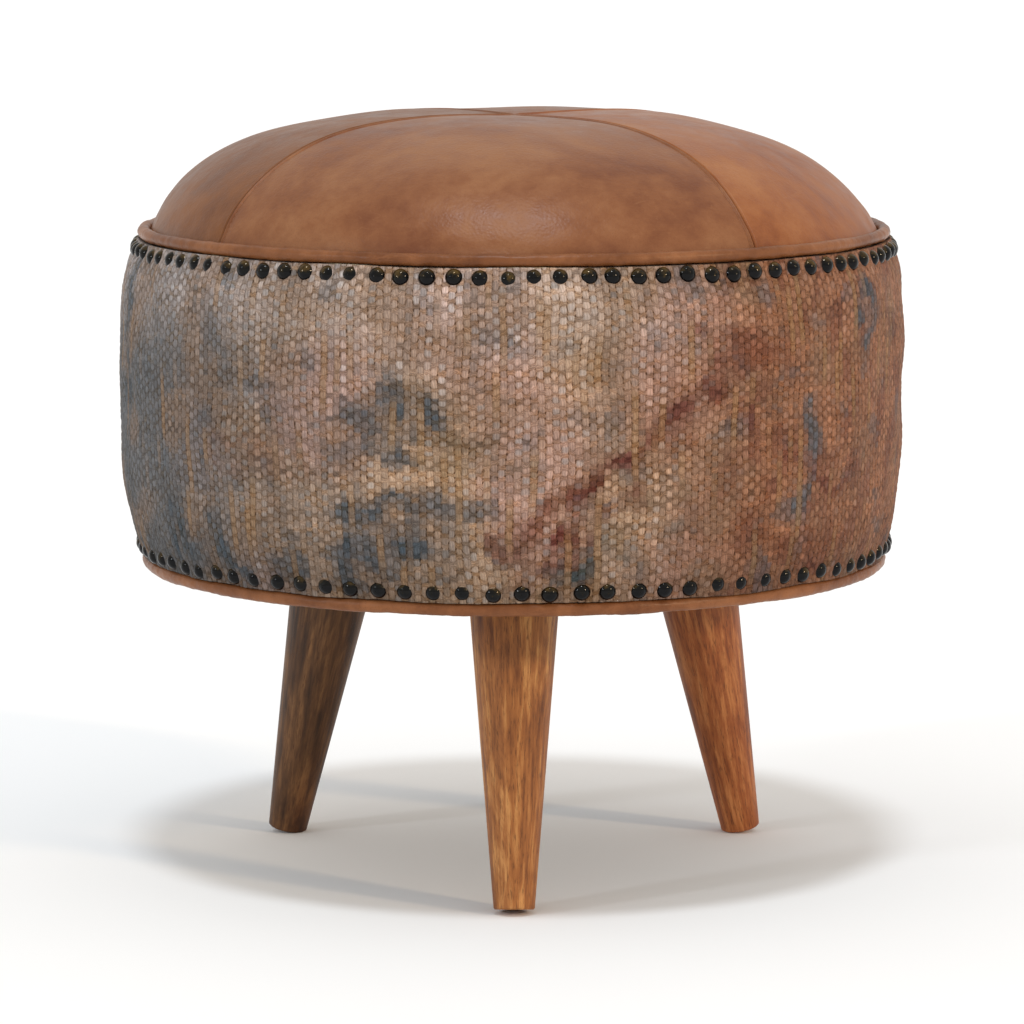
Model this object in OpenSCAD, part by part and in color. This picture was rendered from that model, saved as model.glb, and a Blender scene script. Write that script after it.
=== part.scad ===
// Round drum footstool: domed leather seat, barrel-shaped drum covered in woven
// rug cloth, piping and domed nails at both edges, three splayed turned legs.
// Z is up. The origin is on the floor, under the middle of the seat.

/* [Overall] */
// Diameter of the drum over its cloth cover, at its widest
drum_d = 450; // [370:1:545]
// Height of the base board's underside above the floor
base_z = 176; // [140:1:220]
// Height from the base board's underside to the middle of the top piping
drum_h = 192; // [155:1:235]
// Rise of the leather dome above the middle of the top piping
dome_h = 67; // [40:1:90]

/* [Legs] */
// Lean of each leg from upright, in degrees
leg_splay = 12; // [4:1:16]
// Distance from the stool's axis to the middle of each foot
leg_foot_r = 157; // [135:1:185]
// Diameter of a leg where it meets its plate
leg_top_d = 50; // [40:1:60]
// Diameter of a leg at the floor
leg_foot_d = 23; // [18:0.5:32]
// Chamfer round both ends of a leg
leg_chamfer = 0.8; // [0.4:0.1:2]

/* [Leg plates and bolts] */
// Side of the square flange of a leg plate
plate_w = 64; // [62:1:80]
// Thickness of the plate's steel
plate_t = 2.5; // [2:0.1:3]
// Depth of the tilted cup at its shallow side
cup_min = 1; // [0.5:0.1:3]
// Distance from the plate's middle to its screws, along each side
plate_screw_out = 25.5; // [25:0.5:27]
// Diameter of the threaded end of a leg bolt
bolt_d = 8; // [6:1:10]
// Diameter of the wood-screw end of a leg bolt
bolt_wood_d = 7; // [5:0.5:9]
// Length of a leg bolt inside the leg
bolt_in_leg = 32; // [20:1:45]
// Length of a leg bolt above the leg
bolt_above_leg = 18; // [14:1:22]
// Diameter of the threaded bush in a leg plate
bush_d = 15; // [13:0.5:18]
// Height of the threaded bush above the cup's floor
bush_h = 4; // [3:0.5:5]
// Gap round a leg bolt in the base board
bolt_gap = 2; // [1.5:0.5:4]

/* [Frame] */
// Thickness of the base board
base_t = 18; // [15:1:22]
// Thickness of the seat board
seat_board_t = 15; // [12:1:20]
// Drop from the middle of the top piping to the seat board's top
seat_board_drop = 3; // [1:0.5:5]
// Thickness of the bent side panel
panel_t = 3; // [2:0.5:5]
// Gap where the side panel's ends meet
panel_joint = 2; // [1:0.5:6]
// Side of a square frame post
post_w = 28; // [24:1:34]
// Diameter of the screws that hold the posts
post_screw_d = 4.5; // [4:0.5:6]
// Length of the screws that hold the posts
post_screw_len = 45; // [30:1:55]
// Diameter of the screws that hold the leg plates
plate_screw_d = 4; // [3:0.5:4.5]
// Length of the screws that hold the leg plates
plate_screw_len = 14; // [10:1:18]
// Diameter of the pins that hold the side panel
pin_d = 1.6; // [1.2:0.1:2.5]
// Length of the pins that hold the side panel
pin_len = 16; // [12:1:20]
// Depth of the pins' ends below the side panel's face
pin_set = 0.6; // [0.4:0.1:1.2]

/* [Soft layers] */
// Thickness of the side padding at the drum's widest
padding_t = 14.5; // [11:0.5:20]
// Thickness of the woven side cover
cover_t = 3; // [2:0.5:4]
// How far the cover's top edge stands out from the side panel
top_edge_out = 6.5; // [6:0.5:9]
// How far the cover's bottom edge stands out from the side panel
bottom_edge_out = 6.5; // [5:0.5:9]
// Height of the drum's widest line, as a share of the way up the drum
widest_at = 0.51; // [0.4:0.01:0.6]
// Sharpness of the cover's turn-in towards the top piping
turn_in_top = 5.5; // [2:0.1:7]
// Sharpness of the cover's turn-in towards the bottom piping
turn_in_bottom = 2.9; // [2:0.1:7]
// Thickness of the seat leather
leather_t = 1.4; // [1:0.1:2]
// Thickness of the wadding under the leather
wadding_t = 6; // [3:0.5:10]
// Length of leather skirt below the middle of the top piping
skirt_len = 17; // [15:0.5:19]
// Flatness of the dome's top
dome_flat = 3.65; // [2:0.05:5]
// Fullness of the dome's shoulder
dome_full = 1.39; // [1:0.01:2.5]
// Direction of the first leather seam, in degrees from the X axis
seam_turn = -51; // [-90:1:90]
// Thickness of the cloth under the base
dust_t = 0.8; // [0.4:0.1:1.5]

/* [Piping] */
// Radius of the top piping over its leather
top_piping_r = 3.5; // [3:0.1:5.5]
// Radius of the bottom piping over its leather
bottom_piping_r = 3.7; // [3:0.1:5.5]
// Height of the middle of the bottom piping above the base board's underside
bottom_piping_up = 3; // [1:0.5:4]
// Thickness of the piping's leather
piping_t = 0.8; // [0.6:0.1:1.2]
// Length of the piping's tail from the middle of the piping
piping_tail = 14; // [12:0.5:15]

/* [Nails and staples] */
// Number of nails in the top row
top_nail_count = 95; // [60:1:110]
// Number of nails in the bottom row
bottom_nail_count = 85; // [60:1:105]
// Drop from the middle of the top piping to the top nails
top_nail_drop = 9; // [7:0.5:11]
// Rise from the middle of the bottom piping to the bottom nails
bottom_nail_rise = 9.5; // [7:0.5:11]
// Diameter of a nail's domed head
nail_head_d = 9.5; // [7:0.5:11]
// Height of a nail's domed head
nail_head_h = 3.2; // [2:0.1:4]
// Diameter of a nail's shank
nail_d = 1.6; // [1.2:0.1:2.2]
// Length of a nail's shank
nail_len = 16; // [14:1:18]
// Lean of the nails towards the nearer piping, in degrees
nail_tilt = 10; // [0:1:14]
// How deep a nail's head presses into the cover
nail_press = 1.2; // [0.5:0.1:1.8]
// Hand-set wander of the nails, up and down
nail_wander = 0.8; // [0:0.1:1.5]
// Number of staples in the leather skirt, and in the cloth under the base
staple_count = 24; // [12:1:36]
// Width of a staple
staple_w = 10; // [8:1:12]
// Thickness of a staple's wire
staple_t = 0.6; // [0.5:0.1:0.9]
// Length of a staple's legs
staple_len = 8; // [6:1:12]

/* [Hidden] */

fine = 96;          // facets round the drum
small = 32;         // facets round a leg, a bolt or a piping
tiny = 20;          // facets round a nail or a screw
steps = 14;         // straight runs in half a curved outline
fit = 0.1;          // gap between a round piping and what it lies on
clear = 0.3;        // gap between a soft layer and what pokes into it
over = 1;           // overrun of a cutter past the face it cuts
plate_round = 1.28; // width across a flange's rounded corners, in flange sides
nail_drift = 0.06;  // hand-set wander of the nails along their row, in pitches
top_seed = 11;      // starts the wander of the top nails
bottom_seed = 23;   // starts the wander of the bottom nails

// Directions of the three legs and of the four leather panels
leg_turn = [-90, 30, 150];
panel_turn = [seam_turn - 90, seam_turn, seam_turn + 90, seam_turn + 180];
post_count = 6;
pin_rows = 3;
plate_sides = 4;

// Radii, from the cover inwards
wide_r = drum_d / 2;
frame_r = wide_r - cover_t - padding_t;
board_r = frame_r - panel_t;
skirt_r = frame_r + leather_t;
tail_t = 2 * piping_t;
top_ring_r = skirt_r + top_piping_r + fit;
bottom_ring_r = frame_r + bottom_piping_r + fit;
top_edge_r = frame_r + top_edge_out;
bottom_edge_r = frame_r + bottom_edge_out;
post_out = sqrt(pow(board_r, 2) - pow(post_w / 2, 2)) - post_w / 2;

// Heights, from the floor up
top_ring_z = base_z + drum_h;
bottom_ring_z = base_z + bottom_piping_up;
seat_top_z = top_ring_z - seat_board_drop;
seat_under_z = seat_top_z - seat_board_t;
base_top_z = base_z + base_t;
cover_top_z = top_ring_z - top_piping_r - fit;
cover_bottom_z = bottom_ring_z + bottom_piping_r + fit;
wide_z = bottom_ring_z + widest_at * (top_ring_z - bottom_ring_z);
skirt_z = top_ring_z - skirt_len;
top_nail_z = top_ring_z - top_nail_drop;
bottom_nail_z = bottom_ring_z + bottom_nail_rise;
staple_z = (skirt_z + top_ring_z - piping_tail) / 2;

// Leg: the foot's flat end stands on its inner edge
foot_face_r = leg_foot_d / 2 - leg_chamfer;
foot_z = foot_face_r * sin(leg_splay);
leg_len = (base_z - plate_t - cup_min - foot_z - leg_top_d / 2 * sin(leg_splay))
    / cos(leg_splay);
plate_r = leg_foot_r - (base_z - foot_z) * tan(leg_splay);
cup_wall = plate_t;
cup_reach = leg_top_d;

// Radius of the barrel-shaped drum at height z
function reach(z) = z > wide_z
    ? (z - wide_z) / (top_ring_z - wide_z)
    : (wide_z - z) / (wide_z - bottom_ring_z);
function barrel_r(z) = z > wide_z
    ? wide_r - (wide_r - top_edge_r) * pow(reach(z), turn_in_top)
    : wide_r - (wide_r - bottom_edge_r) * pow(reach(z), turn_in_bottom);

// Rise of a dome of radius r_out and height rise, at radius r
function dome_z(r, r_out, rise) =
    top_ring_z + rise * pow(1 - pow(r / r_out, dome_flat), 1 / dome_full);

// Turn and rise of each hand-set nail
function nail_turns(count, seed) = let (w = rands(-nail_drift, nail_drift, count, seed))
    [for (i = [0:count - 1]) 360 * (i + w[i]) / count];
function nail_rises(count, seed) = rands(-nail_wander, nail_wander, count, seed);

// ---- outlines, drawn as radius and height ----

// The drum's barrel outline, drawn in by inset
module barrel_outline(inset, low, high) {
    side = [for (i = [0:2 * steps])
        let (z = low + (high - low) * i / (2 * steps)) [barrel_r(z) - inset, z]];
    polygon(concat([[frame_r, low]], side, [[frame_r, high]]));
}

// The dome's outline down to height low, drawn in by inset
module dome_outline(inset, low) {
    r_out = skirt_r - inset;
    crown = [for (i = [0:steps])
        let (r = r_out * sin(90 * i / steps)) [r, dome_z(r, r_out, dome_h - inset)]];
    polygon(concat([[0, low]], crown, [[r_out, low]]));
}

// A ring-shaped leather piping with a tail of two layers
module piping_outline(ring_r, ring_z, r, tail_r, tail_z) {
    difference() {
        union() {
            translate([ring_r, ring_z]) circle(r, $fn = small);
            translate([tail_r, min(ring_z, tail_z)]) square([tail_t, abs(tail_z - ring_z)]);
        }
        translate([ring_r, ring_z]) circle(r - piping_t, $fn = small);
    }
}

// A screw with a countersunk head, driven towards +Z
module screw_solid(d, len) {
    rotate_extrude($fn = tiny)
        polygon([[0, 0], [d, 0], [d / 2, d / 2], [d / 2, len - d], [0, len]]);
}

module screw(d, len) {
    slot_w = d / 4;
    slot_l = d * 1.2;
    difference() {
        screw_solid(d, len);
        for (a = [0, 90]) rotate(a)
            translate([-slot_l / 2, -slot_w / 2, -over]) cube([slot_l, slot_w, over + d / 4]);
    }
}

// A staple's crown lies along Y on the plane z = 0, and its legs go to -Z
module staple() {
    translate([-staple_t / 2, -staple_w / 2, 0]) cube([staple_t, staple_w, staple_t]);
    for (y = [-staple_w / 2, staple_w / 2 - staple_t])
        translate([-staple_t / 2, y, -staple_len]) cube([staple_t, staple_t, staple_len]);
}

// ---- places ----

module around(count, start = 0) {
    for (i = [0:count - 1]) rotate(start + 360 * i / count) children();
}

// A leg's own frame: origin in the middle of the foot's end, Z up the leg
module at_leg(turn) {
    rotate(turn) translate([leg_foot_r, 0, foot_z]) rotate([0, -leg_splay, 0]) children();
}

module at_plate_screws(turn) {
    rotate(turn) translate([plate_r, 0, 0]) around(plate_sides, 45)
        translate([plate_screw_out * sqrt(2), 0, base_z - plate_t]) children();
}

module at_posts() {
    around(post_count) translate([post_out, 0, 0]) children();
}

// Frame of each nail: origin on the pressed cover, Z outwards
module at_nails(count, z, tilt, seed) {
    turns = nail_turns(count, seed);
    rises = nail_rises(count, seed + 1);
    for (i = [0:count - 1]) rotate(turns[i])
        translate([barrel_r(z) - nail_press, 0, z + rises[i]])
            rotate([0, 90 - tilt, 0]) children();
}

module at_top_nails() {
    at_nails(top_nail_count, top_nail_z, nail_tilt, top_seed) children();
}

module at_bottom_nails() {
    at_nails(bottom_nail_count, bottom_nail_z, -nail_tilt, bottom_seed) children();
}

module at_pins() {
    gap = (seat_under_z - base_top_z) / (pin_rows + 1);
    for (row = [1:pin_rows])
        around(post_count) translate([frame_r - pin_set, 0, base_top_z + row * gap])
            rotate([0, -90, 0]) children();
}

module at_seat_staples() {
    around(staple_count) translate([skirt_r, 0, staple_z]) rotate([0, 90, 0]) children();
}

module at_dust_staples() {
    around(staple_count) translate([board_r - staple_w, 0, base_z - dust_t])
        rotate([180, 0, 0]) children();
}

// ---- cutters ----

module nail_shank() {
    translate([0, 0, -nail_len]) cylinder(d = nail_d, h = nail_len + over, $fn = tiny);
}

// The shank's hole and the dent that the head presses
module nail_dent() {
    nail_shank();
    cylinder(d = nail_head_d, h = nail_head_h * 2, $fn = tiny);
}

module leg_bolt_solid() {
    translate([0, 0, leg_len]) {
        cylinder(d = bolt_d, h = bolt_above_leg, $fn = small);
        translate([0, 0, -bolt_in_leg]) cylinder(d = bolt_wood_d, h = bolt_in_leg, $fn = small);
    }
}

// ---- legs and what holds them ----

module leg(turn) {
    r0 = leg_foot_d / 2;
    r1 = leg_top_d / 2;
    c = leg_chamfer;
    color("peru") at_leg(turn) difference() {
        rotate_extrude($fn = fine) polygon([
            [0, 0], [r0 - c, 0], [r0, c],
            [r1, leg_len - c], [r1 - c, leg_len], [0, leg_len]
        ]);
        leg_bolt_solid();
    }
}

module leg_bolts() {
    color("silver") for (turn = leg_turn) at_leg(turn) leg_bolt_solid();
}

// The tilted cup's own cylinder, drawn in by inset, from height low up the leg
module cup_cylinder(inset, low) {
    translate([0, 0, low]) cylinder(r = leg_top_d / 2 - inset, h = cup_reach, $fn = fine);
}

// A flat flange screwed to the base, and a tilted cup with a threaded bush
module leg_plate(turn) {
    color("dimgray") difference() {
        union() {
            rotate(turn) translate([plate_r, 0, base_z - plate_t])
                linear_extrude(plate_t) intersection() {
                    square(plate_w, center = true);
                    circle(d = plate_w * plate_round, $fn = fine);
                }
            intersection() {
                at_leg(turn) cup_cylinder(0, leg_len);
                cylinder(r = wide_r, h = base_z - plate_t / 2, $fn = fine);
            }
        }
        difference() {
            at_leg(turn) cup_cylinder(cup_wall, leg_len + cup_wall);
            at_leg(turn) translate([0, 0, leg_len])
                cylinder(d = bush_d, h = cup_wall + bush_h, $fn = small);
        }
        at_leg(turn) leg_bolt_solid();
        at_plate_screws(turn) screw_solid(plate_screw_d, plate_screw_len);
    }
}

module plate_screws() {
    color("silver") for (turn = leg_turn)
        at_plate_screws(turn) screw(plate_screw_d, plate_screw_len);
}

// ---- frame ----

module base_board() {
    color("burlywood") difference() {
        translate([0, 0, base_z]) cylinder(r = board_r, h = base_t, $fn = fine);
        for (turn = leg_turn) {
            at_leg(turn) translate([0, 0, leg_len])
                cylinder(d = bolt_d + 2 * bolt_gap, h = cup_reach, $fn = small);
            at_plate_screws(turn) screw_solid(plate_screw_d, plate_screw_len);
        }
        low_post_screws();
        at_bottom_nails() nail_shank();
        at_dust_staples() staple();
    }
}

module post(i) {
    height = seat_under_z - base_top_z;
    color("wheat") difference() {
        rotate(360 * (i - 1) / post_count)
            translate([post_out - post_w / 2, -post_w / 2, base_top_z])
                cube([post_w, post_w, height]);
        low_post_screws();
        high_post_screws();
        at_pins() pin_solid();
    }
}

module low_post_screws() {
    at_posts() translate([0, 0, base_z]) screw_solid(post_screw_d, post_screw_len);
}

module high_post_screws() {
    at_posts() translate([0, 0, seat_top_z]) rotate([180, 0, 0])
        screw_solid(post_screw_d, post_screw_len);
}

module post_screws() {
    color("silver") {
        at_posts() translate([0, 0, base_z]) screw(post_screw_d, post_screw_len);
        at_posts() translate([0, 0, seat_top_z]) rotate([180, 0, 0])
            screw(post_screw_d, post_screw_len);
    }
}

module seat_board() {
    color("burlywood") difference() {
        translate([0, 0, seat_under_z]) cylinder(r = board_r, h = seat_board_t, $fn = fine);
        high_post_screws();
        at_top_nails() nail_shank();
        at_seat_staples() staple();
    }
}

// One sheet bent round the boards, with its ends meeting at the back. The round
// surfaces start there too, so that no hole lies across their start.
module side_panel() {
    color("tan") difference() {
        rotate(90) translate([0, 0, base_z])
            cylinder(r = frame_r, h = seat_top_z - base_z, $fn = fine);
        rotate(90) translate([0, 0, base_z - over])
            cylinder(r = board_r, h = seat_top_z - base_z + 2 * over, $fn = fine);
        translate([-panel_joint / 2, 0, base_z - over])
            cube([panel_joint, wide_r, seat_top_z - base_z + 2 * over]);
        at_top_nails() nail_shank();
        at_bottom_nails() nail_shank();
        at_seat_staples() staple();
        at_pins() pin_hole();
    }
}

// A headless pin, driven towards +Z
module pin_solid() {
    cylinder(d = pin_d, h = pin_len, $fn = tiny);
}

// The pin's hole, open at the panel's face
module pin_hole() {
    translate([0, 0, -over]) cylinder(d = pin_d, h = over + pin_len, $fn = tiny);
}

module panel_pins() {
    color("silver") at_pins() pin_solid();
}

// ---- side ----

module side_padding() {
    tail_room = tail_t + clear;
    color("ivory") difference() {
        rotate_extrude($fn = fine) difference() {
            barrel_outline(cover_t, cover_bottom_z, cover_top_z);
            translate([0, top_ring_z - skirt_len - clear])
                square([skirt_r + tail_room, skirt_len]);
            square([frame_r + tail_room, bottom_ring_z + piping_tail + clear]);
        }
        at_top_nails() nail_shank();
        at_bottom_nails() nail_shank();
    }
}

module side_cover() {
    color("rosybrown") difference() {
        rotate_extrude($fn = fine) difference() {
            barrel_outline(0, cover_bottom_z, cover_top_z);
            barrel_outline(cover_t, cover_bottom_z - over, cover_top_z + over);
        }
        at_top_nails() nail_dent();
        at_bottom_nails() nail_dent();
    }
}

// ---- seat ----

module seat_foam() {
    color("ivory") rotate_extrude($fn = fine)
        dome_outline(leather_t + wadding_t, seat_top_z);
}

module seat_wadding() {
    color("white") rotate_extrude($fn = fine) difference() {
        dome_outline(leather_t, seat_top_z);
        dome_outline(leather_t + wadding_t, seat_top_z - over);
    }
}

// A quarter of the leather dome, from one seam to the next, with its skirt
module seat_panel(turn) {
    color("sienna") difference() {
        rotate(turn) rotate_extrude(angle = 90, $fn = fine) difference() {
            dome_outline(0, skirt_z);
            dome_outline(leather_t, skirt_z - over);
        }
        at_top_nails() nail_shank();
        at_seat_staples() staple();
    }
}

module seat_staples() {
    color("silver") at_seat_staples() staple();
}

// ---- piping ----

module top_piping() {
    color("sienna") difference() {
        rotate_extrude($fn = fine)
            piping_outline(top_ring_r, top_ring_z, top_piping_r, skirt_r,
                top_ring_z - piping_tail);
        at_top_nails() nail_shank();
    }
}

module bottom_piping() {
    color("sienna") difference() {
        rotate_extrude($fn = fine)
            piping_outline(bottom_ring_r, bottom_ring_z, bottom_piping_r, frame_r,
                bottom_ring_z + piping_tail);
        at_bottom_nails() nail_shank();
    }
}

module piping_cord(ring_r, ring_z, r) {
    color("linen") rotate_extrude($fn = fine)
        translate([ring_r, ring_z]) circle(r - piping_t, $fn = small);
}

// ---- trim ----

// A domed nail with its flat underside on the plane z = 0
module nail() {
    cap_r = (pow(nail_head_d / 2, 2) + pow(nail_head_h, 2)) / (2 * nail_head_h);
    rotate_extrude($fn = small) {
        intersection() {
            translate([0, nail_head_h - cap_r]) circle(cap_r, $fn = small);
            square([nail_head_d, nail_head_h * 2]);
        }
        translate([0, -nail_len]) square([nail_d / 2, nail_len + nail_head_h / 2]);
    }
}

module top_nails() {
    color("#3a2c20") at_top_nails() nail();
}

module bottom_nails() {
    color("#3a2c20") at_bottom_nails() nail();
}

module dust_cover() {
    color("#202020") difference() {
        translate([0, 0, base_z - dust_t]) cylinder(r = frame_r, h = dust_t, $fn = fine);
        for (turn = leg_turn) rotate(turn) translate([plate_r, 0, base_z])
            cube(plate_w + 2 * clear, center = true);
        at_dust_staples() staple();
    }
}

module dust_staples() {
    color("silver") at_dust_staples() staple();
}

leg(leg_turn[0]);  // leg_front
leg(leg_turn[1]);  // leg_right
leg(leg_turn[2]);  // leg_left
leg_bolts();
leg_plate(leg_turn[0]);  // leg_plate_front
leg_plate(leg_turn[1]);  // leg_plate_right
leg_plate(leg_turn[2]);  // leg_plate_left
plate_screws();
base_board();
post(1);  // post_1
post(2);  // post_2
post(3);  // post_3
post(4);  // post_4
post(5);  // post_5
post(6);  // post_6
post_screws();
seat_board();
side_panel();
panel_pins();
side_padding();
side_cover();
seat_foam();
seat_wadding();
seat_panel(panel_turn[0]);  // seat_panel_front
seat_panel(panel_turn[1]);  // seat_panel_right
seat_panel(panel_turn[2]);  // seat_panel_back
seat_panel(panel_turn[3]);  // seat_panel_left
seat_staples();
top_piping();
piping_cord(top_ring_r, top_ring_z, top_piping_r);  // top_piping_cord
bottom_piping();
piping_cord(bottom_ring_r, bottom_ring_z, bottom_piping_r);  // bottom_piping_cord
top_nails();
bottom_nails();
dust_cover();
dust_staples();
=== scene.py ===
"""The looks of a round upholstered footstool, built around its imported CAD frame.

Everything is in metres in the frame's own axes: Z up, the floor at zero, the stool's middle on
the Z axis and its front towards -Y. Angles round the stool start at the front and grow to +X.
"""
import math

import bpy
import numpy as np
from mathutils import Matrix, Vector


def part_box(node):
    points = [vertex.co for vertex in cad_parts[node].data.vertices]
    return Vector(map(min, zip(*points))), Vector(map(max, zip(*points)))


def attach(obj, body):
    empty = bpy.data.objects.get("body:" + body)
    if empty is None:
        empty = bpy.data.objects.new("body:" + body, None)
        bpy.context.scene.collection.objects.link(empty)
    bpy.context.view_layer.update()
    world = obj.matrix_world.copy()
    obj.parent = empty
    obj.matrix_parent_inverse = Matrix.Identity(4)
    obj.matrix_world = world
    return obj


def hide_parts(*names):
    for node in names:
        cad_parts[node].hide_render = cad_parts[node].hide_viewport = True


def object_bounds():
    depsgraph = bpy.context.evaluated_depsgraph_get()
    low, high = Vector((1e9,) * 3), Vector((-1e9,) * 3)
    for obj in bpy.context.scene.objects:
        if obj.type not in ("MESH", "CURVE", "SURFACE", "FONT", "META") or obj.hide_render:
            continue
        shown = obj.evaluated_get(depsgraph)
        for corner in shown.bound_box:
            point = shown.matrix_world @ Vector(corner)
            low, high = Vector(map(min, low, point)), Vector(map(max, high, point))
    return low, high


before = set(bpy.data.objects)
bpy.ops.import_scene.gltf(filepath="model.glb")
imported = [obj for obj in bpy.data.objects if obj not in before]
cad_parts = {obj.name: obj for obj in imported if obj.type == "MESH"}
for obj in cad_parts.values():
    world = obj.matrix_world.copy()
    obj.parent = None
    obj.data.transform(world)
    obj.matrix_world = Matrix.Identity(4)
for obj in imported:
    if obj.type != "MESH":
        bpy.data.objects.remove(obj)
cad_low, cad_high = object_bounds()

MM = 0.001
TAU = 2 * math.pi


# ---- sizes that the frame gives ----

def top_of(node):
    """Upper corner of a node's box."""
    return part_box(node)[1]


def foot_of(node):
    """Lower corner of a node's box."""
    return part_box(node)[0]


def ring_of(cord):
    """(radius, height, section radius) of a piping's cord."""
    low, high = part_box(cord)
    thick = (high.z - low.z) / 2
    return high.x - thick, (low.z + high.z) / 2, thick


TOP_RING_R, TOP_RING_Z, TOP_CORD_R = ring_of("top_piping_cord")
BOTTOM_RING_R, BOTTOM_RING_Z, BOTTOM_CORD_R = ring_of("bottom_piping_cord")
TOP_PIPING_R = top_of("top_piping").z - TOP_RING_Z
BOTTOM_PIPING_R = BOTTOM_RING_Z - foot_of("bottom_piping").z
COVER_LOW, COVER_HIGH = foot_of("side_cover").z, top_of("side_cover").z
WIDE_R = top_of("side_cover").x
FRAME_R = top_of("side_panel").x
SKIRT_R = TOP_RING_R - TOP_PIPING_R - 0.1 * MM  # clear of the piping's inner side
SKIRT_LOW = foot_of("seat_panel_front").z
SEAT_LOW = foot_of("seat_foam").z
DOME_RISE = cad_high.z - TOP_RING_Z
BASE_Z = foot_of("base_board").z

# The barrel and the dome follow the same curves as the part
WIDEST_AT = 0.51
EDGE_OUT = 6.5 * MM
TURN_IN_TOP, TURN_IN_BOTTOM = 5.5, 2.9
DOME_FLAT, DOME_FULL = 3.65, 1.39
COVER_T = 3 * MM
LEATHER_T = 1.4 * MM
WADDING_T = 6 * MM
WIDE_Z = BOTTOM_RING_Z + WIDEST_AT * (TOP_RING_Z - BOTTOM_RING_Z)
SEAM_ANGLES = [math.radians(39 + 90 * i) for i in range(4)]


def barrel_r(z):
    """Radius of the drum's cover at height z."""
    edge = FRAME_R + EDGE_OUT
    up = np.clip((z - WIDE_Z) / (TOP_RING_Z - WIDE_Z), 0, None)
    down = np.clip((WIDE_Z - z) / (WIDE_Z - BOTTOM_RING_Z), 0, None)
    return WIDE_R - (WIDE_R - edge) * (up ** TURN_IN_TOP + down ** TURN_IN_BOTTOM)


def dome_z(r, r_out, rise):
    """Height of a dome of radius r_out and that rise, at radius r."""
    return TOP_RING_Z + rise * np.clip(1 - (r / r_out) ** DOME_FLAT, 0, 1) ** (1 / DOME_FULL)


# ---- fields and small sums ----

def ripple(places, seed, length, count=20):
    """A smooth random field of about unit size, with bumps about length across."""
    rng = np.random.default_rng(seed)
    way = rng.normal(size=(count, 3))
    way /= np.linalg.norm(way, axis=1)[:, None]
    way *= (TAU / length * rng.uniform(0.5, 1.4, count))[:, None]
    phase = rng.uniform(0, TAU, count)
    return np.cos(places @ way.T + phase).sum(axis=-1) / math.sqrt(count / 2)


def step(low, high, x):
    """Smooth step from 0 at low to 1 at high."""
    t = np.clip((x - low) / (high - low), 0, 1)
    return t * t * (3 - 2 * t)


def hump(x, middle, width):
    """A smooth bump of height 1 round middle."""
    return np.exp(-((x - middle) / width) ** 2)


def toward(colour, other, share):
    """Colours moved that share of the way to another one, place by place."""
    return colour + (np.array(other) - colour) * share[..., None]


def tone(r, g, b):
    """Linear colour from 0-255 display numbers."""
    parts = [c / 255 for c in (r, g, b)]
    return tuple(c / 12.92 if c <= 0.04045 else ((c + 0.055) / 1.055) ** 2.4 for c in parts)


def spot(angle, r, z):
    """Place at that angle round from the front, as an array with x, y, z last."""
    return np.stack(np.broadcast_arrays(r * np.sin(angle), -r * np.cos(angle), z), axis=-1)


# ---- meshes ----

def add_object(name, data):
    """A new object in the scene."""
    made = bpy.data.objects.new(name, data)
    bpy.context.scene.collection.objects.link(made)
    return made


def mesh_piece(name, verts, quads, material):
    """A mesh object in the scene, from arrays of places and of faces."""
    mesh = bpy.data.meshes.new(name)
    verts = np.asarray(verts, np.float32).reshape(-1, 3)
    quads = np.asarray(quads, np.int32)
    mesh.vertices.add(len(verts))
    mesh.vertices.foreach_set("co", verts.ravel())
    mesh.loops.add(quads.size)
    mesh.loops.foreach_set("vertex_index", quads.ravel())
    mesh.polygons.add(len(quads))
    mesh.polygons.foreach_set("loop_start", np.arange(0, quads.size, quads.shape[1]))
    mesh.polygons.foreach_set("use_smooth", np.full(len(quads), True))
    mesh.update(calc_edges=True)
    mesh.materials.append(material)
    return add_object(name, mesh)


def grid_quads(rows, cols, close_cols=False, close_rows=False):
    """Faces of a grid whose vertices run along cols first."""
    r = np.arange(rows if close_rows else rows - 1)[:, None]
    c = np.arange(cols if close_cols else cols - 1)[None, :]
    r2, c2 = (r + 1) % rows, (c + 1) % cols
    quads = np.stack(np.broadcast_arrays(
        r * cols + c, r * cols + c2, r2 * cols + c2, r2 * cols + c), axis=-1)
    return quads.reshape(-1, 4)


def outline_normals(r, z):
    """Normals, as (out, up), on the right-hand side of an outline that runs from its first
    place to its last."""
    dr, dz = np.gradient(r), np.gradient(z)
    length = np.hypot(dr, dz)
    return dz / length, -dr / length


def turned(name, outline, around, material, relief):
    """A closed ring or solid of revolution. outline is a closed loop of (r, z), anticlockwise,
    and relief(angle, index, place) moves the surface outwards."""
    r, z = np.asarray(outline, float).T
    dr, dz = (np.roll(side, -1) - np.roll(side, 1) for side in (r, z))
    length = np.hypot(dr, dz) + 1e-12
    out, up = dz / length, -dr / length
    angle = np.arange(around)[:, None] * TAU / around
    place = spot(angle, r[None, :], z[None, :])
    rise = relief(angle, np.arange(len(r))[None, :], place)
    place = spot(angle, r + out * rise, z + up * rise)
    quads = grid_quads(around, len(r), close_cols=True, close_rows=True)[:, ::-1]
    return mesh_piece(name, place, quads, material)


def coordinates(mesh):
    """Places of a mesh's vertices, one row each."""
    co = np.empty(len(mesh.vertices) * 3, np.float32)
    mesh.vertices.foreach_get("co", co)
    return co.reshape(-1, 3).astype(float)


def ride(piece, slot, *nodes):
    """The piece goes with the stool and stands for those nodes. slot is not used."""
    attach(piece, "root")
    if nodes:
        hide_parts(*nodes)


BEAD_SIDES = 8
BEAD_RINGS = 6
BEAD_CAP = np.array([[0, 1, 2, 3], [0, 3, 4, 7], [4, 5, 6, 7]])  # an octagon in quads


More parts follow.
